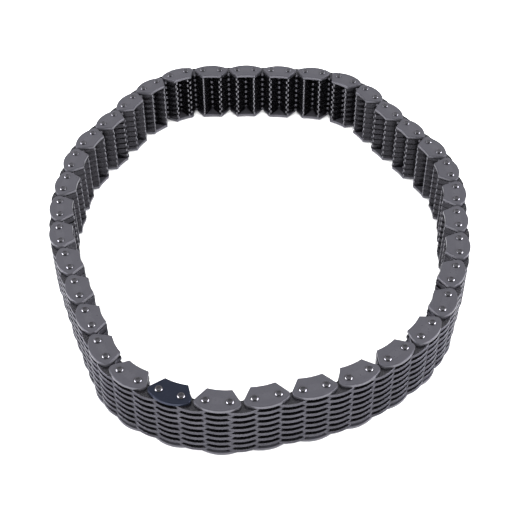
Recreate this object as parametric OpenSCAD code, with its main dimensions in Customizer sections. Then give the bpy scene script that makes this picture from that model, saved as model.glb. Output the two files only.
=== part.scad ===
// Closed loop of inverted-tooth power take-off chain, lying on its side.
// Outer links (guide plates outside, toothed plates inside, two riveted pins)
// alternate with inner links (toothed plates that turn on the pins).
// +Z is up, across the width of the chain. The teeth face into the loop.

/* [Chain] */
// Distance between the centres of neighbouring pins, mm
pitch = 11.1125; // [11.1:0.0125:11.3]
// Width over the two guide plates, mm
chain_w = 31.75; // [31.75:0.05:34]
// Toothed plates in one inner link
inner_plates = 8; // [4:1:8]
// Thickness of one plate, mm
plate_t = 1.8; // [1.4:0.05:1.8]

/* [Plate shape] */
// Height of a guide plate's corners above the line through the pins, mm
guide_h = 7.3; // [7.2:0.1:7.4]
// Width of a guide plate's tooth-side edge between its corners, mm
guide_w = 11.7; // [11.6:0.1:11.8]
// How far the tooth-side edge of a guide plate is hollowed, mm
guide_hollow = 0.6; // [0.4:0.05:0.8]
// Angle of a tooth flank from the height of the plate, degrees
flank_a = 34; // [33:0.5:34]
// Height of the tooth tips above the line through the pins, mm
tooth_h = 7.4; // [7.2:0.1:7.5]
// Width of a tooth tip, mm
tip_w = 1; // [0.8:0.1:1.2]
// Height of the bottom of the notch between the teeth, mm
notch_v = 1.4; // [1.3:0.1:2]
// Depth of the crowned back of a plate below the line through the pins, mm
back_h = 5.8; // [5.7:0.05:5.9]
// Radius of the crowned back of a plate, mm
back_r = 17; // [16:0.5:18]
// Radius of a plate's rounded end between its flank and its back, mm
end_r = 2.7; // [2.5:0.1:2.9]

/* [Pins] */
// Diameter of a pin, mm
pin_d = 3.4; // [3:0.1:3.6]
// Diameter of a riveted pin head, mm
head_d = 3.9; // [3.7:0.1:4.2]
// Height of a riveted pin head, mm
head_h = 0.8; // [0.7:0.05:1.1]
// Radial clearance of a pin in the plates that it holds, mm
hold_gap = 0.02; // [0.01:0.01:0.04]
// Radial clearance of a pin in the plates that turn on it, mm
run_gap = 0.06; // [0.04:0.01:0.1]
// Radial clearance at the pivot where the loop is opened for its joints, mm
open_gap = 0.26; // [0.2:0.02:0.4]

/* [Hidden] */
$fn = 64;
// How each link lies, as its heading seen from above in whole degrees, in the
// order of the links and turning to the left. Link 1 is the marked link.
lie = [
    -22, -12, -6, 10, 14, 12, 15, 22, 28,
    35, 39, 41, 54, 56, 68, 74, 69, 72,
    82, 84, 87, 82, 84, 95, 95, 106, 115,
    120, 119, 120, 120, 117, 119, 131, 143, 158,
    170, 176, 175, 176, 181, 181, 180, 187, 208,
    222, 227, 238, 244, 244, 240, 243, 246, 255,
    264, 266, 266, 269, 278, 276, 283, 290, 290,
    290, 290, 292, 293, 292, 296, 311, 324, 332
];
links = len(lie);
// Pin at which the loop is opened: it ends link 36 and starts link 37
open_pin = 37;

function total(v) = v * [for (x = v) 1];

// Headings given whole degrees don't quite close the loop. Each is corrected by
// c[0] cos + c[1] sin of itself, and c is found so that the steps add up to 0.
function heads(c) = [for (t = lie) t + c[0] * cos(t) + c[1] * sin(t)];
function miss(h) = [total([for (t = h) cos(t)]), total([for (t = h) sin(t)])];
function slope(h) = let (k = PI / 180) [
    [-k * total([for (i = [0:links - 1]) sin(h[i]) * cos(lie[i])]),
     -k * total([for (i = [0:links - 1]) sin(h[i]) * sin(lie[i])])],
    [k * total([for (i = [0:links - 1]) cos(h[i]) * cos(lie[i])]),
     k * total([for (i = [0:links - 1]) cos(h[i]) * sin(lie[i])])]
];
function solve2(m, v) = let (d = m[0][0] * m[1][1] - m[0][1] * m[1][0]) [
    (v[0] * m[1][1] - m[0][1] * v[1]) / d,
    (m[0][0] * v[1] - v[0] * m[1][0]) / d
];
function settle(c, n) = n == 0 ? c : settle(c - solve2(slope(heads(c)), miss(heads(c))), n - 1);
head = heads(settle([0, 0], 6));

// Pin centres before the loop is centred
walk = [
    for (i = 0, x = 0, y = 0; i < links; x = x + pitch * cos(head[i]), y = y + pitch * sin(head[i]), i = i + 1)
        [x, y]
];

// Half the width of a plate between its flanks at height v
function flank_u(v) = guide_w / 2 + (guide_h - v) * tan(flank_a);
tip_u = flank_u(tooth_h);
tip_in = tip_u - tip_w;
// Centre of the round bottom of the notch, which touches both flanks
notch_c = (notch_v + tip_in * cos(flank_a) - tooth_h * sin(flank_a)) / (1 - sin(flank_a));
notch_r = notch_c - notch_v;
// Guide plate's hollow edge: radius of an arc over the width between its corners
hollow_r = (guide_w * guide_w / 4 + guide_hollow * guide_hollow) / (2 * guide_hollow);

// Centre of the rounded end, which lies end_r inside both the flank and the back:
// along the flank's inward parallel until it meets the back's
flank_n = [cos(flank_a), sin(flank_a)];
flank_t = [sin(flank_a), -cos(flank_a)];
from_c = flank_n * (flank_n * [guide_w / 2, guide_h] - end_r) - [0, back_r - back_h];
reach = -from_c * flank_t
    + sqrt(pow(from_c * flank_t, 2) - from_c * from_c + pow(back_r - end_r, 2));
to_c = from_c + reach * flank_t;
end_c = to_c + [0, back_r - back_h];
back_n = to_c / norm(to_c);
// The end's circle is this much larger, to cross the flank and the back where it
// would only touch them
lap = 0.02;

// Points on the rim of a plate, for the extents of the loop
rim = concat(
    [for (a = [-48:2:26], s = [-1, 1]) [s * (end_c[0] + (end_r + lap) * cos(a)), end_c[1] + (end_r + lap) * sin(a)]],
    [for (u = [-9:0.25:9]) [u, -back_h + back_r - sqrt(back_r * back_r - u * u)]]
);
far_x = [for (i = [0:links - 1], q = rim) walk[i][0] + (pitch / 2 + q[0]) * cos(head[i]) - q[1] * sin(head[i])];
far_y = [for (i = [0:links - 1], q = rim) walk[i][1] + (pitch / 2 + q[0]) * sin(head[i]) + q[1] * cos(head[i])];
centre = [(min(far_x) + max(far_x)) / 2, (min(far_y) + max(far_y)) / 2];
pins = [for (p = walk) p - centre];

rows = 2 * inner_plates + 1;
row_p = (chain_w - plate_t) / (rows - 1);
pin_len = chain_w + 2 * head_h;

// Plate without its rounded ends: cut back on both sides from the centre of the
// end to the lines on which the flank and the back run into it
function core(h) = let (r = end_r + 1, q = [
    [pitch, h + 1], end_c + r * flank_n, end_c, end_c + r * back_n, [end_c[0], -back_h - 2]
]) concat(q, [for (i = [4:-1:0]) [-q[i][0], q[i][1]]]);

// Outline that all plates share, h high: crowned back, rounded ends, sloping flanks
module blank(h) {
    intersection() {
        polygon([
            [-flank_u(h), h], [flank_u(h), h],
            [flank_u(-back_h - 1), -back_h - 1], [-flank_u(-back_h - 1), -back_h - 1]
        ]);
        translate([0, back_r - back_h]) circle(r = back_r);
        union() {
            polygon(core(h));
            translate(end_c) circle(r = end_r + lap);
            translate([-end_c[0], end_c[1]]) circle(r = end_r + lap);
        }
    }
}

// One plate, flat, with its two bores of the given radial clearances
module plate(toothed, gap_a, gap_b) {
    linear_extrude(plate_t) difference() {
        blank(toothed ? tooth_h : guide_h);
        if (toothed) {
            translate([0, notch_c]) circle(r = notch_r);
            polygon([
                [-notch_r * cos(flank_a), notch_c - notch_r * sin(flank_a)],
                [notch_r * cos(flank_a), notch_c - notch_r * sin(flank_a)],
                [tip_in + tan(flank_a), tooth_h + 1],
                [-tip_in - tan(flank_a), tooth_h + 1]
            ]);
        } else {
            translate([0, guide_h - guide_hollow + hollow_r]) circle(r = hollow_r);
        }
        translate([-pitch / 2, 0]) circle(r = pin_d / 2 + gap_a);
        translate([pitch / 2, 0]) circle(r = pin_d / 2 + gap_b);
    }
}

// Puts a child made about the middle of a link where link n lies, in row r
module at_link(n, r) {
    translate([pins[n - 1][0], pins[n - 1][1], head_h + r * row_p])
        rotate([0, 0, head[n - 1]]) translate([pitch / 2, 0, 0]) children();
}

// Radial clearance of an inner plate of link n on its pin k
function turn_gap(k) = k == open_pin ? open_gap : run_gap;

module guide_plate(n, r) at_link(n, r) plate(false, hold_gap, hold_gap);
module outer_plates(n) for (r = [2:2:rows - 3]) at_link(n, r) plate(true, hold_gap, hold_gap);
module inner_plates(n) for (r = [1:2:rows - 2]) at_link(n, r) plate(true, turn_gap(n), turn_gap(n + 1));

// Pin k, with both ends riveted over
module pin(k) {
    i = (k - 1) % links;
    translate([pins[i][0], pins[i][1], 0]) rotate_extrude() polygon([
        [0, 0], [head_d / 2 - 0.6, 0], [head_d / 2 - 0.15, 0.15], [head_d / 2, 0.5],
        [head_d / 2, head_h - 0.03], [pin_d / 2, head_h - 0.03],
        [pin_d / 2, pin_len - head_h + 0.03], [head_d / 2, pin_len - head_h + 0.03],
        [head_d / 2, pin_len - 0.5], [head_d / 2 - 0.15, pin_len - 0.15],
        [head_d / 2 - 0.6, pin_len], [0, pin_len]
    ]);
}

// Outer link n: guide plates, toothed plates and the pins at both its ends
module outer_link(n) color([0.25, 0.25, 0.27]) {
    guide_plate(n, 0);
    guide_plate(n, rows - 1);
    outer_plates(n);
    pin(n);
    pin(n + 1);
}

// Inner link n: toothed plates that turn on its neighbours' pins
module inner_link(n) color([0.21, 0.21, 0.23]) inner_plates(n);

// Links n and n + 1 together, one outer and one inner
module link_pair(n) color([0.23, 0.23, 0.25]) {
    m = n % 2 == 1 ? n : n + 1;
    guide_plate(m, 0);
    guide_plate(m, rows - 1);
    outer_plates(m);
    inner_plates(m == n ? n + 1 : n);
    pin(m);
    pin(m + 1);
}

// The marked link, piece by piece
module marker_guide_plate() color([0.07, 0.09, 0.13]) guide_plate(1, rows - 1);
module marker_link_lower_guide_plate() color([0.25, 0.25, 0.27]) guide_plate(1, 0);
module marker_link_plates() color([0.25, 0.25, 0.27]) outer_plates(1);
module marker_link_pin(k) color([0.32, 0.32, 0.34]) pin(k);

marker_guide_plate();
marker_link_lower_guide_plate();
marker_link_plates();
marker_link_pin(1);  // marker_link_pin_01
marker_link_pin(2);  // marker_link_pin_02
inner_link(2);  // inner_link_02
link_pair(3);  // link_pair_03_04
outer_link(5);  // outer_link_05
link_pair(6);  // link_pair_06_07
inner_link(8);  // inner_link_08
outer_link(9);  // outer_link_09
inner_link(10);  // inner_link_10
outer_link(11);  // outer_link_11
link_pair(12);  // link_pair_12_13
inner_link(14);  // inner_link_14
link_pair(15);  // link_pair_15_16
outer_link(17);  // outer_link_17
inner_link(18);  // inner_link_18
outer_link(19);  // outer_link_19
inner_link(20);  // inner_link_20
link_pair(21);  // link_pair_21_22
outer_link(23);  // outer_link_23
link_pair(24);  // link_pair_24_25
inner_link(26);  // inner_link_26
outer_link(27);  // outer_link_27
inner_link(28);  // inner_link_28
outer_link(29);  // outer_link_29
link_pair(30);  // link_pair_30_31
inner_link(32);  // inner_link_32
link_pair(33);  // link_pair_33_34
outer_link(35);  // outer_link_35
inner_link(36);  // inner_link_36
outer_link(37);  // outer_link_37
inner_link(38);  // inner_link_38
link_pair(39);  // link_pair_39_40
outer_link(41);  // outer_link_41
link_pair(42);  // link_pair_42_43
inner_link(44);  // inner_link_44
outer_link(45);  // outer_link_45
inner_link(46);  // inner_link_46
outer_link(47);  // outer_link_47
link_pair(48);  // link_pair_48_49
inner_link(50);  // inner_link_50
link_pair(51);  // link_pair_51_52
outer_link(53);  // outer_link_53
inner_link(54);  // inner_link_54
outer_link(55);  // outer_link_55
inner_link(56);  // inner_link_56
link_pair(57);  // link_pair_57_58
outer_link(59);  // outer_link_59
link_pair(60);  // link_pair_60_61
inner_link(62);  // inner_link_62
outer_link(63);  // outer_link_63
inner_link(64);  // inner_link_64
outer_link(65);  // outer_link_65
link_pair(66);  // link_pair_66_67
inner_link(68);  // inner_link_68
link_pair(69);  // link_pair_69_70
outer_link(71);  // outer_link_71
inner_link(72);  // inner_link_72
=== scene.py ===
import math

import bpy
import numpy as np
from mathutils import Matrix, Vector
from mathutils.geometry import tessellate_polygon


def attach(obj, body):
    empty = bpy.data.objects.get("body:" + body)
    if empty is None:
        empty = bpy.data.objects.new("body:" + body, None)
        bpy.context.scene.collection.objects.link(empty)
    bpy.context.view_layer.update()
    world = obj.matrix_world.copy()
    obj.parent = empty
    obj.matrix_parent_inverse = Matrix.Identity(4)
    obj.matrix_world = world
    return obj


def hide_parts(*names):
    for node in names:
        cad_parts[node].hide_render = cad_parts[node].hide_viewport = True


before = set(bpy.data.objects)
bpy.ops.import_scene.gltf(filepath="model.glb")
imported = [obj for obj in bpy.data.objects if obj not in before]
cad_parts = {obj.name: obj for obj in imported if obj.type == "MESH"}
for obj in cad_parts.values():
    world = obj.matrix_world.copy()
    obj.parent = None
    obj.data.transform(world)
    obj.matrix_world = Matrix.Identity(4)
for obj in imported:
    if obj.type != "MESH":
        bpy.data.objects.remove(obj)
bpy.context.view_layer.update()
SCENE = bpy.context.scene
MM = 0.001

# ---------------------------------------------------------------- the chain's own numbers, in mm, as in the CAD source
PITCH, CHAIN_W, ROWS, PLATE_T = 11.1125, 31.75, 17, 1.8
GUIDE_H, GUIDE_W, HOLLOW, FLANK = 7.3, 11.7, 0.6, math.radians(34)
TOOTH_H, TIP_W, NOTCH_V = 7.4, 1.0, 1.4
BACK_H, BACK_R, END_R, LAP = 5.8, 17.0, 2.7, 0.02
PIN_D, HEAD_D, HEAD_H = 3.4, 3.9, 0.8
HOLD_GAP, RUN_GAP, OPEN_GAP, OPEN_PIN = 0.02, 0.06, 0.26, 37
ROW_P = (CHAIN_W - PLATE_T) / (ROWS - 1)
PIN_LEN = CHAIN_W + 2 * HEAD_H
TIP_U = GUIDE_W / 2 + (GUIDE_H - TOOTH_H) * math.tan(FLANK)
TIP_IN = TIP_U - TIP_W
LIE = [
    -22, -12, -6, 10, 14, 12, 15, 22, 28, 35, 39, 41, 54, 56, 68, 74, 69, 72,
    82, 84, 87, 82, 84, 95, 95, 106, 115, 120, 119, 120, 120, 117, 119, 131, 143, 158,
    170, 176, 175, 176, 181, 181, 180, 187, 208, 222, 227, 238, 244, 244, 240, 243, 246, 255,
    264, 266, 266, 269, 278, 276, 283, 290, 290, 290, 290, 292, 293, 292, 296, 311, 324, 332,
]
PAIRS = (3, 6, 12, 15, 21, 24, 30, 33, 39, 42, 48, 51, 57, 60, 66, 69)  # first link of each pair that moves as one
MARKED = 1


def end_centre():
    """Centre of a plate's rounded end, and the direction from it to where the back begins."""
    n, t = np.array([math.cos(FLANK), math.sin(FLANK)]), np.array([math.sin(FLANK), -math.cos(FLANK)])
    bow = np.array([0, BACK_R - BACK_H])
    w = n * (n @ np.array([GUIDE_W / 2, GUIDE_H]) - END_R) - bow
    to = w + t * (-(w @ t) + math.sqrt((w @ t) ** 2 - w @ w + (BACK_R - END_R) ** 2))
    return to + bow, to / np.linalg.norm(to)


END_C, BACK_N = end_centre()


def lay_out():
    """Heading of each link in radians and place of each pin in mm, by the rule of the CAD source."""
    t = np.radians(np.array(LIE, float))
    a = b = 0.0
    for _ in range(10):
        h = t + a * np.cos(t) + b * np.sin(t)
        miss = np.array([np.cos(h).sum(), np.sin(h).sum()])
        jac = np.array([
            [-(np.sin(h) * np.cos(t)).sum(), -(np.sin(h) * np.sin(t)).sum()],
            [(np.cos(h) * np.cos(t)).sum(), (np.cos(h) * np.sin(t)).sum()],
        ])
        da, db = np.linalg.solve(jac, -miss)
        a, b = a + da, b + db
    h = t + a * np.cos(t) + b * np.sin(t)
    p = np.zeros((72, 2))
    for n in range(1, 72):
        p[n] = p[n - 1] + PITCH * np.array([math.cos(h[n - 1]), math.sin(h[n - 1])])
    rim = []
    for d in range(-48, 27, 2):
        for s in (-1, 1):
            rim.append((s * (END_C[0] + (END_R + LAP) * math.cos(math.radians(d))), END_C[1] + (END_R + LAP) * math.sin(math.radians(d))))
    for k in range(-36, 37):
        rim.append((k / 4, -BACK_H + BACK_R - math.sqrt(BACK_R**2 - k * k / 16)))
    rim = np.array(rim)
    x = p[:, :1] + (PITCH / 2 + rim[:, 0]) * np.cos(h)[:, None] - rim[:, 1] * np.sin(h)[:, None]
    y = p[:, 1:] + (PITCH / 2 + rim[:, 0]) * np.sin(h)[:, None] + rim[:, 1] * np.cos(h)[:, None]
    centre = np.array([(x.min() + x.max()) / 2, (y.min() + y.max()) / 2])
    return h, p - centre


HEAD, PIN = lay_out()


# ---------------------------------------------------------------- plate outlines
def arc(cx, cy, r, a0, a1, step):
    """Points of an arc, ends included, angles in degrees."""
    n = max(2, int(math.ceil(abs(a1 - a0) / step)) + 1)
    return [(cx + r * math.cos(math.radians(a)), cy + r * math.sin(math.radians(a))) for a in np.linspace(a0, a1, n)]


def corner(before, at, after, r, n):
    """A rounded corner of radius r between three points."""
    p, c, q = (np.array(v, float) for v in (before, at, after))
    d1, d2 = (c - p) / np.linalg.norm(c - p), (q - c) / np.linalg.norm(q - c)
    turn = math.atan2(d1[0] * d2[1] - d1[1] * d2[0], float(d1 @ d2))
    t = r * math.tan(abs(turn) / 2)
    start = c - d1 * t
    side = np.array([-d1[1], d1[0]]) * (1 if turn > 0 else -1)
    o = start + side * r
    a0 = math.atan2(start[1] - o[1], start[0] - o[0])
    return [(o[0] + r * math.cos(a0 + turn * k / n), o[1] + r * math.sin(a0 + turn * k / n)) for k in range(n + 1)]


def right_side(top, tip_r, fine, before):
    """The outer flank, rounded end and half the back for u > 0, going down from the corner at height top."""
    tip = (GUIDE_W / 2 + (GUIDE_H - top) * math.tan(FLANK), top)
    n = np.array([math.cos(FLANK), math.sin(FLANK)])
    low = END_C + END_R * n
    out = corner(before, tip, low, tip_r, 5)
    last = np.array(out[-1])
    flank = np.linalg.norm(low - last)
    # points close to the tip too, so that the rubbed tip, which also paints the tips' glints, ends sharply
    out += [tuple(last + (low - last) * k) for k in (0.2 / flank, 0.5 / flank, 0.4, 0.75)]
    low_a = math.degrees(math.atan2(BACK_N[1], BACK_N[0]))
    out += arc(END_C[0], END_C[1], END_R, math.degrees(FLANK), low_a, fine)
    out += arc(0, BACK_R - BACK_H, BACK_R, low_a, -90, fine * 0.4)[1:]
    return out


def guide_outline():
    """Guide plate, going clockwise from the middle of its hollow top edge."""
    half_w = GUIDE_W / 2
    r = (half_w**2 + HOLLOW**2) / (2 * HOLLOW)
    top = arc(0, GUIDE_H - HOLLOW + r, r, -90, -90 + math.degrees(math.asin((half_w - 0.7) / r)), 1.3)
    # the corner joins the hollow edge, which slopes up to it
    slope = math.asin(half_w / r)
    half = top + right_side(GUIDE_H, 0.5, 7, (half_w - math.cos(slope), GUIDE_H - math.sin(slope)))
    return half + [(-u, v) for u, v in reversed(half[1:-1])]


def tooth_outline():
    """Toothed plate, going clockwise from the bottom of the notch between its two teeth."""
    r = notch_radius()
    notch = arc(0, NOTCH_V + r, r, -90, -math.degrees(FLANK), 14)
    tip_in = (TIP_IN, TOOTH_H)
    foot, run = np.array(notch[-1]), np.array(tip_in) - np.array(notch[-1])
    flank = np.linalg.norm(run)
    inner = [tuple(foot + run * k) for k in (0.3 / flank, 0.5, 1 - 0.62 / flank, 1 - 0.32 / flank)]
    inner += corner(notch[-1], tip_in, (TIP_IN + 0.5, TOOTH_H), 0.2, 3)
    inner += [(TIP_IN + 0.42, TOOTH_H), (TIP_IN + 0.54, TOOTH_H)]
    half = notch + inner + right_side(TOOTH_H, 0.25, 11, (TIP_U - 0.5, TOOTH_H))
    return half + [(-u, v) for u, v in reversed(half[1:-1])]


def notch_radius():
    """Radius of the notch bottom that runs smoothly into flanks through the inner tip points."""
    # the flank passes (TIP_IN, TOOTH_H) at FLANK from upright and touches a circle whose lowest point is (0, NOTCH_V)
    # distance from (0, NOTCH_V + r) to the flank = r
    k = TIP_IN * math.cos(FLANK) - TOOTH_H * math.sin(FLANK)
    return (k + NOTCH_V * math.sin(FLANK)) / (1 - math.sin(FLANK))


def tidy(pts):
    """A closed outline without doubled points, going counter-clockwise."""
    p = np.array(pts, float)
    keep = [0]
    for i in range(1, len(p)):
        if np.linalg.norm(p[i] - p[keep[-1]]) > 0.02:
            keep.append(i)
    if np.linalg.norm(p[keep[-1]] - p[0]) < 0.02:
        keep.pop()
    p = p[keep]
    q = np.roll(p, -1, 0)
    if (p[:, 0] * q[:, 1] - p[:, 1] * q[:, 0]).sum() < 0:
        p = p[::-1]
    return p


def normals_2d(p):
    """Outward unit normals at the points of a counter-clockwise outline, and the stretch that an inset needs there."""
    e1, e2 = p - np.roll(p, 1, 0), np.roll(p, -1, 0) - p
    l1, l2 = np.linalg.norm(e1, axis=1, keepdims=True), np.linalg.norm(e2, axis=1, keepdims=True)
    n1, n2 = np.stack([e1[:, 1], -e1[:, 0]], 1) / l1, np.stack([e2[:, 1], -e2[:, 0]], 1) / l2
    # the shorter side's direction weighs more, so a long straight flank doesn't lean its neighbour's arc
    n = n1 * l2 + n2 * l1
    n /= np.linalg.norm(n, axis=1, keepdims=True)
    m = n1 + n2
    m /= np.linalg.norm(m, axis=1, keepdims=True)
    return n, m / np.clip((m * n1).sum(1, keepdims=True), 0.5, 1)


class Shape:
    """Points, unit normals and faces of a small solid, in mm in its own frame, with each point's wear_glint (rubbed
    tone that also paints glints) and painted_shade.

    Painted shade is 0 on clean steel and 1 in the recesses, where the colour is darkened to stand in for shade; flat
    marks the points of the flat faces, whose painted shade depends on the row.
    """

    def __init__(self):
        self.v, self.n, self.w, self.g, self.flat, self.f = [], [], [], [], [], []
        self.count = 0

    def add(self, v, n, w, faces, painted_shade=0.0, flat=0.0):
        base = self.count
        self.v.append(np.asarray(v, float))
        self.n.append(np.asarray(n, float))
        for store, value in ((self.w, w), (self.g, painted_shade), (self.flat, flat)):
            store.append(np.broadcast_to(np.asarray(value, float), (len(v),)).copy())
        self.f += [tuple(base + i for i in f) for f in faces]
        self.count += len(v)
        return base

    def done(self):
        self.v, self.n = np.concatenate(self.v), np.concatenate(self.n)
        self.w, self.g, self.flat = np.concatenate(self.w), np.concatenate(self.g), np.concatenate(self.flat)
        return self


def ring_faces(a, b, n, flip=False):
    """Quads between two rings of n points whose first points are a and b."""
    out = []
    for i in range(n):
        j = (i + 1) % n
        q = (a + i, a + j, b + j, b + i)
        out.append(q[::-1] if flip else q)
    return out


def plate_shape(outline, roll_top, roll_low, steps, bores, bore_segments, edge_wear_glint, tip_v=None, rim_shade=0.0):
    """A blanked plate: flat faces, rolled edge on top, smaller edge radius below, two bores with broken edges.

    Above the height tip_v its side is rubbed bright, as the tops of the teeth are, which also paints their glints.
    With rim_shade, painted shade lays a dark line in the rolled rim where it would mirror the dark side of the room,
    and the side wall is painted brighter as a highlight.
    """
    s = Shape()
    p = tidy(outline)
    n2, miter = normals_2d(p)
    count = len(p)
    rings = []  # from the top face's rim to the lower face's rim
    flat = 0.15 if tip_v is None else 0.3  # the flat faces of toothed plates rub on each other
    for k in range(steps + 1):
        a = math.pi / 2 * k / steps
        # with rim_shade: a painted dark line of shade along the rolled rim, and the wear moves out to the side wall,
        # painted brighter as a highlight
        shine = math.sin(a) ** 4 if rim_shade else math.sin(2 * a)
        rings.append((roll_top * (1 - math.sin(a)), PLATE_T - roll_top * (1 - math.cos(a)), math.sin(a), math.cos(a), edge_wear_glint * shine + 0.02, rim_shade * math.sin(2 * a) ** 2))
    mid = PLATE_T * 0.45
    rings.append((0.0, mid, 1.0, 0.0, edge_wear_glint if rim_shade else 0.08, 0.0))
    for k in range(steps + 1):
        a = math.pi / 2 * (1 - k / steps)
        rings.append((roll_low * (1 - math.sin(a)), roll_low * (1 - math.cos(a)), math.sin(a), -math.cos(a), edge_wear_glint * 0.8 * math.sin(2 * a) + 0.02, 0.0))
    tips, flank_shade = np.zeros(count), np.zeros(count)
    if tip_v is not None:
        # only the inner half of a tip is rubbed bright, where it runs against the sprocket; the brighter colour there
        # also paints the tips' glints
        tips = np.clip((p[:, 1] - tip_v) / 0.25, 0, 1) * np.clip((TIP_IN + 0.54 - np.abs(p[:, 0])) / 0.12, 0, 1)
        # the sheared flanks, deep between the stacked plates, get painted shade; the tooth tips, the bottom of the
        # notch and the outer side don't
        flank_shade = np.clip((p[:, 1] - 0.6) / 1.2, 0, 1) * (1 - tips) * np.clip((np.abs(p[:, 0]) - 1.1) / 0.2, 0, 1)
    starts = []
    for inset, z, side, up, wear_glint, rim_painted_shade in rings:
        xy = p - miter * inset
        nn = np.concatenate([n2 * side, np.full((count, 1), up)], 1)
        face = 1.0 if side < 0.01 else 0.0
        if tip_v is not None and up > 0.99:
            wear_glint = flat
        starts.append(s.add(np.concatenate([xy, np.full((count, 1), z)], 1), nn, np.maximum(wear_glint * (1 - 0.5 * flank_shade), tips * (0.25 + 0.75 * side)), [], np.maximum(flank_shade * (1 - face) * (0.4 + 0.6 * side**6), rim_painted_shade), face))
    for a, b in zip(starts, starts[1:]):
        s.f += ring_faces(b, a, count)
    # bores: a broken edge at each face and the wall between
    loops_top, loops_low = [], []
    brk = 0.06
    for (cx, cy, r) in bores:
        ang = np.linspace(0, 2 * math.pi, bore_segments, endpoint=False)
        c, q = np.cos(ang), np.sin(ang)
        levels = [(r + brk, PLATE_T, 0, 1), (r, PLATE_T - brk, -1, 0), (r, brk, -1, 0), (r + brk, 0, 0, -1)]
        st = []
        for rr, z, side, up in levels:
            xyz = np.stack([cx + rr * c, cy + rr * q, np.full(len(c), z)], 1)
            nn = np.stack([c * side, q * side, np.full(len(c), up)], 1)
            st.append(s.add(xyz, nn, flat if up > 0 else 0.15, [], 0.0, 1.0 if side == 0 else 0.0))
        for a, b in zip(st, st[1:]):
            s.f += ring_faces(a, b, bore_segments)
        loops_top.append((st[0], bore_segments))
        loops_low.append((st[-1], bore_segments))
    s.done()
    for start, loops, up in ((starts[0], loops_top, True), (starts[-1], loops_low, False)):
        polys = [[Vector((*s.v[start + i][:2], 0)) for i in range(count)]]
        index = [start + i for i in range(count)]
        for b, m in loops:
            polys.append([Vector((*s.v[b + i][:2], 0)) for i in range(m)])
            index += [b + i for i in range(m)]
        for tri in tessellate_polygon(polys):
            t = [index[i] for i in tri]
            a, b, c = (s.v[i][:2] for i in t)
            ccw = (b[0] - a[0]) * (c[1] - a[1]) - (b[1] - a[1]) * (c[0] - a[0]) > 0
            s.f.append(tuple(t) if ccw == up else tuple(t[::-1]))
    return s


def pin_shape(segments):
    """A round pin with a spun head at each end: shallow dish, rounded rim, straight side, thinner shank."""
    top = PIN_LEN
    hr = HEAD_D / 2
    # the dish, the head's side and the shank are painted darker, standing in for shade and the dark reflection there;
    # the crest ring and the sloping rim are painted brighter where the glints fall
    prof = [  # radius, depth under the end, wear and painted glint, painted shade
        (0.0, 0.13, 0.1, 0.15), (0.5, 0.125, 0.1, 0.15), (0.85, 0.1, 0.1, 0.2), (1.02, 0.05, 0.2, 0.2), (1.13, 0.01, 0.5, 0.0), (1.22, 0.0, 0.6, 0.0),
        (1.32, 0.01, 0.5, 0.0), (1.42, 0.038, 0.4, 0.0), (1.51, 0.09, 0.5, 0.0), (1.61, 0.17, 0.7, 0.0), (1.71, 0.262, 0.7, 0.0), (1.81, 0.362, 0.6, 0.0),
        (1.88, 0.445, 0.3, 0.3), (1.93, 0.53, 0.0, 0.8), (hr, 0.63, 0.0, 1.0), (hr - 0.02, HEAD_H - 0.05, 0.0, 1.0),
    ]
    shank = [(PIN_D / 2, HEAD_H - 0.05, 0.0, 1.0), (PIN_D / 2, PIN_LEN / 2, 0.0, 1.0)]
    rz = [(r, top - d, w, g) for r, d, w, g in prof + shank]
    rz += [(r, d, w, g) for r, d, w, g in reversed(prof + shank[:-1])]
    s = Shape()
    ang = np.linspace(0, 2 * math.pi, segments, endpoint=False)
    c, q = np.cos(ang), np.sin(ang)
    pts = np.array([(r, z) for r, z, _, _ in rz])
    starts = []
    for i, (r, z, w, g) in enumerate(rz):
        a, b = pts[max(0, i - 1)], pts[min(len(pts) - 1, i + 1)]
        t = b - a
        t /= np.linalg.norm(t)
        nr, nz = -t[1], t[0]
        if i in (0, len(rz) - 1):
            nr, nz = 0.0, 1.0 if i == 0 else -1.0
            starts.append((s.add([(0, 0, z)], [(0, 0, nz)], w, [], g), 1))
            continue
        xyz = np.stack([r * c, r * q, np.full(segments, z)], 1)
        nn = np.stack([c * nr, q * nr, np.full(segments, nz)], 1)
        starts.append((s.add(xyz, nn, w, [], g), segments))
    for (a, na), (b, nb) in zip(starts, starts[1:]):
        if na == 1:
            s.f += [(a, b + i, b + (i + 1) % segments) for i in range(segments)]
        elif nb == 1:
            s.f += [(a + (i + 1) % segments, a + i, b) for i in range(segments)]
        else:
            s.f += ring_faces(b, a, segments)
    return s.done()


def bores(gap_a, gap_b):
    return [(-PITCH / 2, 0, PIN_D / 2 + gap_a), (PITCH / 2, 0, PIN_D / 2 + gap_b)]


GUIDE_LINE, TOOTH_LINE = guide_outline(), tooth_outline()
GUIDE = plate_shape(GUIDE_LINE, 0.5, 0.2, 7, bores(HOLD_GAP, HOLD_GAP), 28, 0.45, rim_shade=0.35)
OUTER = plate_shape(TOOTH_LINE, 0.2, 0.1, 3, bores(HOLD_GAP, HOLD_GAP), 20, 0.5, TOOTH_H - 0.3)
INNER = plate_shape(TOOTH_LINE, 0.2, 0.1, 3, bores(RUN_GAP, RUN_GAP), 20, 0.5, TOOTH_H - 0.3)
INNER_OPEN = plate_shape(TOOTH_LINE, 0.2, 0.1, 3, bores(RUN_GAP, OPEN_GAP), 20, 0.5, TOOTH_H - 0.3)
PINS = pin_shape(36)


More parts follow.
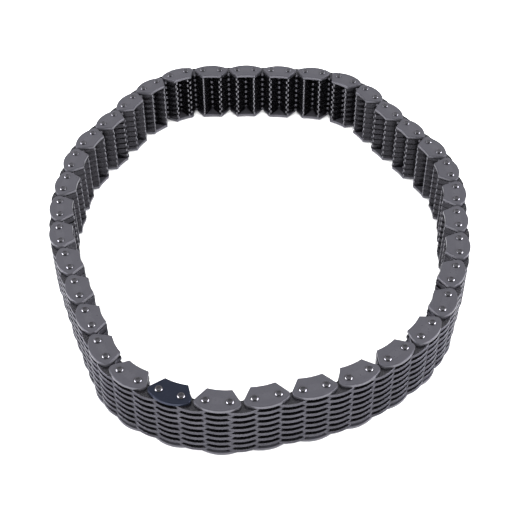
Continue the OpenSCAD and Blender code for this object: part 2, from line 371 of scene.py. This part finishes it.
class Build:
    """Gathers placed copies of shapes into one mesh."""

    def __init__(self):
        self.v, self.n, self.w, self.g, self.t, self.loops, self.sizes, self.count = [], [], [], [], [], [], [], 0

    def place(self, shape, x, y, z, angle, tone, flip=False, painted_shade=0.0):
        """A copy of shape turned about +Z by angle; flip turns it over its length first, top face down."""
        v, n = shape.v.copy(), shape.n.copy()
        if flip:
            v[:, 2] = PLATE_T - v[:, 2]
            n[:, 2] = -n[:, 2]
        c, s = math.cos(angle), math.sin(angle)
        turn = np.array([[c, s, 0], [-s, c, 0], [0, 0, 1]])
        self.v.append((v @ turn + (x, y, z)) * MM)
        self.n.append(n @ turn)
        # painted shade on the flat faces, by row: darker colour and less wear where stacked plates shade each other
        self.w.append(shape.w * (1 - 0.7 * painted_shade * shape.flat))
        self.g.append(np.maximum(shape.g, shape.flat * painted_shade))
        self.t.append(np.full(len(v), tone))
        for f in shape.f:
            g = f[::-1] if flip else f
            self.sizes.append(len(g))
            self.loops.extend(self.count + i for i in g)
        self.count += len(v)

    def mesh(self, name):
        v, n = np.concatenate(self.v).astype(np.float32), np.concatenate(self.n)
        loops, sizes = np.array(self.loops, np.int32), np.array(self.sizes, np.int32)
        starts = np.concatenate([[0], np.cumsum(sizes)[:-1]]).astype(np.int32)
        me = bpy.data.meshes.new(name)
        me.vertices.add(len(v))
        me.vertices.foreach_set("co", v.ravel())
        me.loops.add(len(loops))
        me.loops.foreach_set("vertex_index", loops)
        me.polygons.add(len(sizes))
        me.polygons.foreach_set("loop_start", starts)
        me.polygons.foreach_set("use_smooth", np.ones(len(sizes), bool))
        for label, data in (("wear_glint", self.w), ("tone", self.t), ("painted_shade", self.g)):
            a = me.attributes.new(label, "FLOAT", "POINT")
            a.data.foreach_set("value", np.concatenate(data).astype(np.float32))
        me.update(calc_edges=True)
        n /= np.linalg.norm(n, axis=1, keepdims=True)
        me.normals_split_custom_set_from_vertices(n.tolist())
        return me


RNG = np.random.default_rng(20261126)


def plate_at(build, shape, n, row, slack, flip=False, painted_shade=0.0):
    """A plate of link n in a row, sitting a hair off its true place as stacked plates do."""
    du, dv, da, dz, t = RNG.normal(0, slack), RNG.normal(0, slack * 1.4), RNG.normal(0, slack * 0.05), RNG.uniform(0, 0.02), RNG.uniform(0, 1)
    lim = 0.045
    du, dv, da = max(-lim, min(lim, du)), max(-lim, min(lim, dv)), max(-0.004, min(0.004, da))
    a = HEAD[n - 1]
    x = PIN[n - 1][0] + (PITCH / 2 + du) * math.cos(a) - dv * math.sin(a)
    y = PIN[n - 1][1] + (PITCH / 2 + du) * math.sin(a) + dv * math.cos(a)
    build.place(shape, x, y, HEAD_H + row * ROW_P + dz, a + da, t, flip, painted_shade)


def pin_at(build, k):
    build.place(PINS, PIN[k - 1][0], PIN[k - 1][1], 0, RNG.uniform(0, 6.28), RNG.uniform(0, 1))


# ---------------------------------------------------------------- materials
def nodes_of(name):
    m = bpy.data.materials.new(name)
    m.use_nodes = True
    nt = m.node_tree
    nt.nodes.clear()
    out = nt.nodes.new("ShaderNodeOutputMaterial")
    bsdf = nt.nodes.new("ShaderNodeBsdfPrincipled")
    nt.links.new(bsdf.outputs[0], out.inputs[0])
    return m, nt, bsdf


def node(nt, kind, **values):
    n = nt.nodes.new(kind)
    for k, v in values.items():
        if hasattr(n, k):
            setattr(n, k, v)
        else:
            n.inputs[k].default_value = v
    return n


def noise(nt, coords, per_mm, detail, rough=0.55, squash=None):
    """Noise with per_mm cells to a millimetre, from object coordinates in metres."""
    src = coords
    if squash:
        mp = node(nt, "ShaderNodeMapping")
        mp.inputs["Scale"].default_value = squash
        nt.links.new(coords, mp.inputs["Vector"])
        src = mp.outputs[0]
    n = node(nt, "ShaderNodeTexNoise", Scale=per_mm * 1000, Detail=detail, Roughness=rough)
    nt.links.new(src, n.inputs["Vector"])
    return n.outputs["Fac"]


def remap(nt, value, lo, hi, to_lo, to_hi):
    m = node(nt, "ShaderNodeMapRange")
    m.inputs["From Min"].default_value, m.inputs["From Max"].default_value = lo, hi
    m.inputs["To Min"].default_value, m.inputs["To Max"].default_value = to_lo, to_hi
    nt.links.new(value, m.inputs["Value"])
    return m.outputs[0]


def math_node(nt, op, a, b):
    m = node(nt, "ShaderNodeMath", operation=op)
    for i, x in enumerate((a, b)):
        if isinstance(x, (int, float)):
            m.inputs[i].default_value = x
        else:
            nt.links.new(x, m.inputs[i])
    return m.outputs[0]


def mix(nt, fac, a, b):
    m = nt.nodes.new("ShaderNodeMix")
    m.data_type = "RGBA"
    for socket, x in ((m.inputs[0], fac), (m.inputs[6], a), (m.inputs[7], b)):
        if isinstance(x, (int, float)):
            socket.default_value = x
        elif isinstance(x, tuple):
            socket.default_value = (*x, 1)
        else:
            nt.links.new(x, socket)
    return m.outputs[2]


def steel(name, dark, light, worn_glint, metallic, rough, wear_glint_share, grain, bump, spread=1.0, shade_to=0.42):
    """Oiled blanked steel: blotches of tempered and oiled tone, fine tumbled grain, brighter where edges are rubbed,
    which also paints glints, and darker as painted shade in recesses.
    """
    m, nt, bsdf = nodes_of(name)
    co = node(nt, "ShaderNodeTexCoord").outputs["Object"]
    blotch = noise(nt, co, 0.16 * spread, 4)
    patch = noise(nt, co, 1.1 * spread, 5, 0.65)
    fine = noise(nt, co, 7.0, 3, 0.7)
    tone = node(nt, "ShaderNodeAttribute", attribute_name="tone").outputs["Fac"]
    wear_glint = node(nt, "ShaderNodeAttribute", attribute_name="wear_glint").outputs["Fac"]
    shade = math_node(nt, "ADD", math_node(nt, "MULTIPLY", blotch, 0.45), math_node(nt, "MULTIPLY", patch, 0.3))
    shade = math_node(nt, "ADD", shade, math_node(nt, "MULTIPLY", tone, 0.25))
    shade = math_node(nt, "ADD", shade, math_node(nt, "MULTIPLY", math_node(nt, "SUBTRACT", fine, 0.5), grain))
    body = mix(nt, remap(nt, shade, 0.25, 0.75, 0, 1), dark, light)
    # painted shade: where the painted_shade attribute marks recesses, flanks, stacked faces and the rolled rim, the
    # colour darkens towards shade_to times the dark colour, standing in for shade
    painted_shade = math_node(nt, "MULTIPLY", node(nt, "ShaderNodeAttribute", attribute_name="painted_shade").outputs["Fac"], remap(nt, patch, 0.35, 0.6, 0.8, 1.0))
    body = mix(nt, painted_shade, body, tuple(c * shade_to for c in dark))
    # rubbed edges and tips turn to the worn colour; placed where the glints fall, this also paints highlights
    rub_glint = math_node(nt, "MULTIPLY", wear_glint, remap(nt, math_node(nt, "ADD", math_node(nt, "MULTIPLY", patch, 0.6), math_node(nt, "MULTIPLY", fine, 0.4)), 0.38, 0.62, 0.25, 1.0))
    rub_glint = math_node(nt, "MULTIPLY", rub_glint, wear_glint_share)
    nt.links.new(mix(nt, rub_glint, body, worn_glint), bsdf.inputs["Base Color"])
    bsdf.inputs["Metallic"].default_value = metallic
    bsdf.inputs["Specular Tint"].default_value = (0.5, 0.5, 0.53, 1)  # oxide and oil: the edges don't turn white at a low angle
    r = math_node(nt, "ADD", remap(nt, patch, 0.3, 0.7, rough[0], rough[1]), math_node(nt, "MULTIPLY", rub_glint, -0.12))
    nt.links.new(r, bsdf.inputs["Roughness"])
    b = node(nt, "ShaderNodeBump")
    b.inputs["Strength"].default_value = bump
    b.inputs["Distance"].default_value = 0.00003
    nt.links.new(math_node(nt, "ADD", fine, math_node(nt, "MULTIPLY", patch, 1.2)), b.inputs["Height"])
    nt.links.new(b.outputs[0], bsdf.inputs["Normal"])
    return m


GUIDE_STEEL = steel("guide_steel", (0.052, 0.0511, 0.0595), (0.0615, 0.0604, 0.0703), (0.17, 0.168, 0.182), 0.55, (0.27, 0.35), 0.5, 0.5, 0.26)
PLATE_STEEL = steel("plate_steel", (0.039, 0.0382, 0.0442), (0.059, 0.0579, 0.0664), (0.2, 0.198, 0.212), 0.94, (0.22, 0.34), 0.8, 0.6, 0.5)
PIN_STEEL = steel("pin_steel", (0.105, 0.103, 0.117), (0.135, 0.1325, 0.15), (0.32, 0.318, 0.335), 1.0, (0.17, 0.24), 0.8, 0.5, 0.25, 1.6, shade_to=0.06)
MARKER_STEEL = steel("marker_steel", (0.0138, 0.0162, 0.0258), (0.0189, 0.0224, 0.0355), (0.034, 0.04, 0.058), 0.75, (0.28, 0.36), 0.4, 0.3, 0.2)


# ---------------------------------------------------------------- pieces
def finish_piece(build, name, mat, body, slot, *nodes):
    me = build.mesh(name)
    me.materials.append(mat)
    ob = bpy.data.objects.new(name, me)
    SCENE.collection.objects.link(ob)
    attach(ob, body)
    if nodes:
        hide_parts(*nodes)
    return ob


def inner_plates(build, n):
    for row in range(1, ROWS - 1, 2):
        # a plate is symmetric, so the bore with the wide clearance is at its +u end in link 36
        # painted shade darkens the flat faces of rows hidden between stacked plates; rows 1 and 15, seen between the
        # guides, get little
        plate_at(build, INNER_OPEN if n + 1 == OPEN_PIN else INNER, n, row, 0.022, painted_shade=0.12 if row in (1, ROWS - 2) else 1.0)


def outer_plates(build, n):
    for row in range(2, ROWS - 2, 2):
        # the outer plates' flat faces, between stacked plates, are painted dark as shade
        plate_at(build, OUTER, n, row, 0.016, painted_shade=1.0)


def body_of_link(n):
    if n == MARKED:
        return "link_01"
    for a in PAIRS:
        if n in (a, a + 1):
            return f"links_{a:02d}_{a + 1:02d}"
    return f"link_{n:02d}"


def cad_node_of_link(n):
    for a in PAIRS:
        if n in (a, a + 1):
            return f"link_pair_{a:02d}_{a + 1:02d}"
    return ("outer" if n % 2 else "inner") + f"_link_{n:02d}"


for n in range(1, 73):
    body = body_of_link(n)
    plates = Build()
    if n % 2 == 0:
        inner_plates(plates, n)
        finish_piece(plates, f"inner_plates_{n:02d}", PLATE_STEEL, body, "plate_steel", cad_node_of_link(n))
        continue
    outer_plates(plates, n)
    pins = Build()
    pin_at(pins, n)
    pin_at(pins, n + 1 if n < 72 else 1)
    guides = Build()
    if n == MARKED:
        plate_at(guides, GUIDE, n, ROWS - 1, 0.0)
        finish_piece(guides, "marker_guide", MARKER_STEEL, body, "marker_steel", "marker_guide_plate")
        low = Build()
        plate_at(low, GUIDE, n, 0, 0.0, flip=True)
        finish_piece(low, "marker_link_lower_guide", GUIDE_STEEL, body, "plate_steel", "marker_link_lower_guide_plate")
        finish_piece(plates, "outer_plates_01", PLATE_STEEL, body, "plate_steel", "marker_link_plates")
        finish_piece(pins, "pins_01", PIN_STEEL, body, "pin_steel", "marker_link_pin_01", "marker_link_pin_02")
        continue
    plate_at(guides, GUIDE, n, ROWS - 1, 0.012)
    plate_at(guides, GUIDE, n, 0, 0.012, flip=True)
    finish_piece(guides, f"guide_plates_{n:02d}", GUIDE_STEEL, body, "plate_steel", cad_node_of_link(n))
    finish_piece(plates, f"outer_plates_{n:02d}", PLATE_STEEL, body, "plate_steel", cad_node_of_link(n))
    finish_piece(pins, f"pins_{n:02d}", PIN_STEEL, body, "pin_steel", cad_node_of_link(n))


# ---------------------------------------------------------------- floor, light, camera
def paper(name, colour):
    m, nt, bsdf = nodes_of(name)
    co = node(nt, "ShaderNodeTexCoord").outputs["Object"]
    soft = noise(nt, co, 0.004, 2)
    nt.links.new(mix(nt, soft, tuple(c * 0.985 for c in colour), colour), bsdf.inputs["Base Color"])
    bsdf.inputs["Roughness"].default_value = 0.75
    bsdf.inputs["Specular IOR Level"].default_value = 0.2
    return m


me = bpy.data.meshes.new("floor")
me.from_pydata([(-6, -6, 0), (6, -6, 0), (6, 6, 0), (-6, 6, 0)], [], [(0, 1, 2, 3)])
floor = bpy.data.objects.new("floor", me)
SCENE.collection.objects.link(floor)
me.materials.append(paper("floor_paper", (0.9, 0.9, 0.9)))

world = bpy.data.worlds.new("studio")
SCENE.world = world
world.use_nodes = True
wn = world.node_tree
wn.nodes.clear()


def by_height(levels):
    """Grey that depends on the sine of the height above the horizon: (sine, level) pairs, levels up to 4."""
    ramp = wn.nodes.new("ShaderNodeValToRGB")
    ramp.color_ramp.interpolation = "EASE"
    stops = ramp.color_ramp.elements
    while len(stops) < len(levels):
        stops.new(0.5)
    for stop, (at, level) in zip(stops, levels):
        stop.position = at
        stop.color = (level / 4, level / 4, level / 4, 1)
    wn.links.new(height, ramp.inputs[0])
    return ramp.outputs[0]


def blend_by(fac, a, b):
    m = wn.nodes.new("ShaderNodeMix")
    m.data_type = "RGBA"
    for socket, x in ((m.inputs[0], fac), (m.inputs[6], a), (m.inputs[7], b)):
        wn.links.new(x, socket)
    return m.outputs[2]


def side_mask(value, lo, hi):
    m = wn.nodes.new("ShaderNodeMapRange")
    m.interpolation_type = "SMOOTHSTEP"
    m.inputs["From Min"].default_value, m.inputs["From Max"].default_value = lo, hi
    wn.links.new(value, m.inputs["Value"])
    return m.outputs[0]


# the room: pale ceiling and back wall, and a dim side where the photographer stands
direction = wn.nodes.new("ShaderNodeTexCoord").outputs["Generated"]
split = wn.nodes.new("ShaderNodeSeparateXYZ")
wn.links.new(direction, split.inputs[0])
height = split.outputs["Z"]
flat = wn.nodes.new("ShaderNodeVectorMath")
flat.operation = "MULTIPLY"
flat.inputs[1].default_value = (1, 1, 0)
wn.links.new(direction, flat.inputs[0])
unit = wn.nodes.new("ShaderNodeVectorMath")
unit.operation = "NORMALIZE"
wn.links.new(flat.outputs[0], unit.inputs[0])
around = wn.nodes.new("ShaderNodeSeparateXYZ")
wn.links.new(unit.outputs[0], around.inputs[0])
toward_back = around.outputs["Y"]
BACK = by_height([(0.0, 0.8), (0.35, 0.9), (0.5, 1.24), (0.62, 1.06), (0.7, 0.74), (0.78, 0.48), (0.87, 0.5), (1.0, 0.6)])
SIDES = by_height([(0.0, 1.2), (0.5, 1.0), (0.8, 0.6), (1.0, 0.6)])
FRONT = by_height([(0.0, 2.6), (0.22, 2.2), (0.38, 0.2), (0.9, 0.1), (1.0, 0.6)])
room = blend_by(side_mask(toward_back, 0.1, 0.7), SIDES, BACK)
room = blend_by(side_mask(toward_back, -0.6, -0.85), room, FRONT)
w_room = wn.nodes.new("ShaderNodeBackground")
w_room.inputs["Strength"].default_value = 4.0
wn.links.new(room, w_room.inputs["Color"])
w_seen = wn.nodes.new("ShaderNodeBackground")
w_seen.inputs["Color"].default_value = (1, 1, 1, 1)
w_mix = wn.nodes.new("ShaderNodeMixShader")
w_out = wn.nodes.new("ShaderNodeOutputWorld")
wn.links.new(wn.nodes.new("ShaderNodeLightPath").outputs["Is Camera Ray"], w_mix.inputs[0])
wn.links.new(w_room.outputs[0], w_mix.inputs[1])
wn.links.new(w_seen.outputs[0], w_mix.inputs[2])
wn.links.new(w_mix.outputs[0], w_out.inputs[0])


def softbox(name, at, target, size, watts, colour=(1, 1, 1)):
    lamp = bpy.data.lights.new(name, "AREA")
    lamp.shape = "RECTANGLE"
    lamp.size, lamp.size_y = size
    lamp.energy = watts
    lamp.color = colour
    ob = bpy.data.objects.new(name, lamp)
    SCENE.collection.objects.link(ob)
    d = Vector(target) - Vector(at)
    ob.location = at
    ob.rotation_mode = "QUATERNION"
    ob.rotation_quaternion = d.to_track_quat("-Z", "Y")
    return ob


softbox("key_left", (-0.86, -0.1, 0.42), (0, 0, 0.02), (0.75, 0.25), 10, (0.95, 0.94, 1.0))
softbox("key_right", (0.86, -0.1, 0.42), (0, 0, 0.02), (0.75, 0.25), 10.5, (0.95, 0.94, 1.0))
# these two lift the paper to white and soften the steel's dark side, and are flagged off the mirror-like reflections
top = softbox("top", (0, 0.1, 1.6), (0, 0, 0), (1.6, 1.6), 45)
fill = softbox("fill", (0, -1.5, 1.3), (0, -0.1, 0), (1.2, 1.2), 55)
top.visible_glossy = fill.visible_glossy = False

cam = bpy.data.cameras.new("camera")
cam.sensor_width = 36
cam.lens = 69.66
cam.clip_start, cam.clip_end = 0.02, 20
camera = bpy.data.objects.new("camera", cam)
SCENE.collection.objects.link(camera)
tilt, roll = math.radians(41.908), -0.0039218
r0, u0 = Vector((1, 0, 0)), Vector((0, math.sin(tilt), math.cos(tilt)))
back = Vector((0, -math.cos(tilt), math.sin(tilt)))
c, s = math.cos(roll), math.sin(roll)
rv, uv = r0 * c + u0 * s, u0 * c - r0 * s
camera.matrix_world = Matrix(((rv.x, uv.x, back.x, 0.000375), (rv.y, uv.y, back.y, -0.43054), (rv.z, uv.z, back.z, 0.37767), (0, 0, 0, 1)))
SCENE.camera = camera
SCENE.view_settings.view_transform = "Standard"
SCENE.view_settings.look = "None"

bpy.context.view_layer.update()
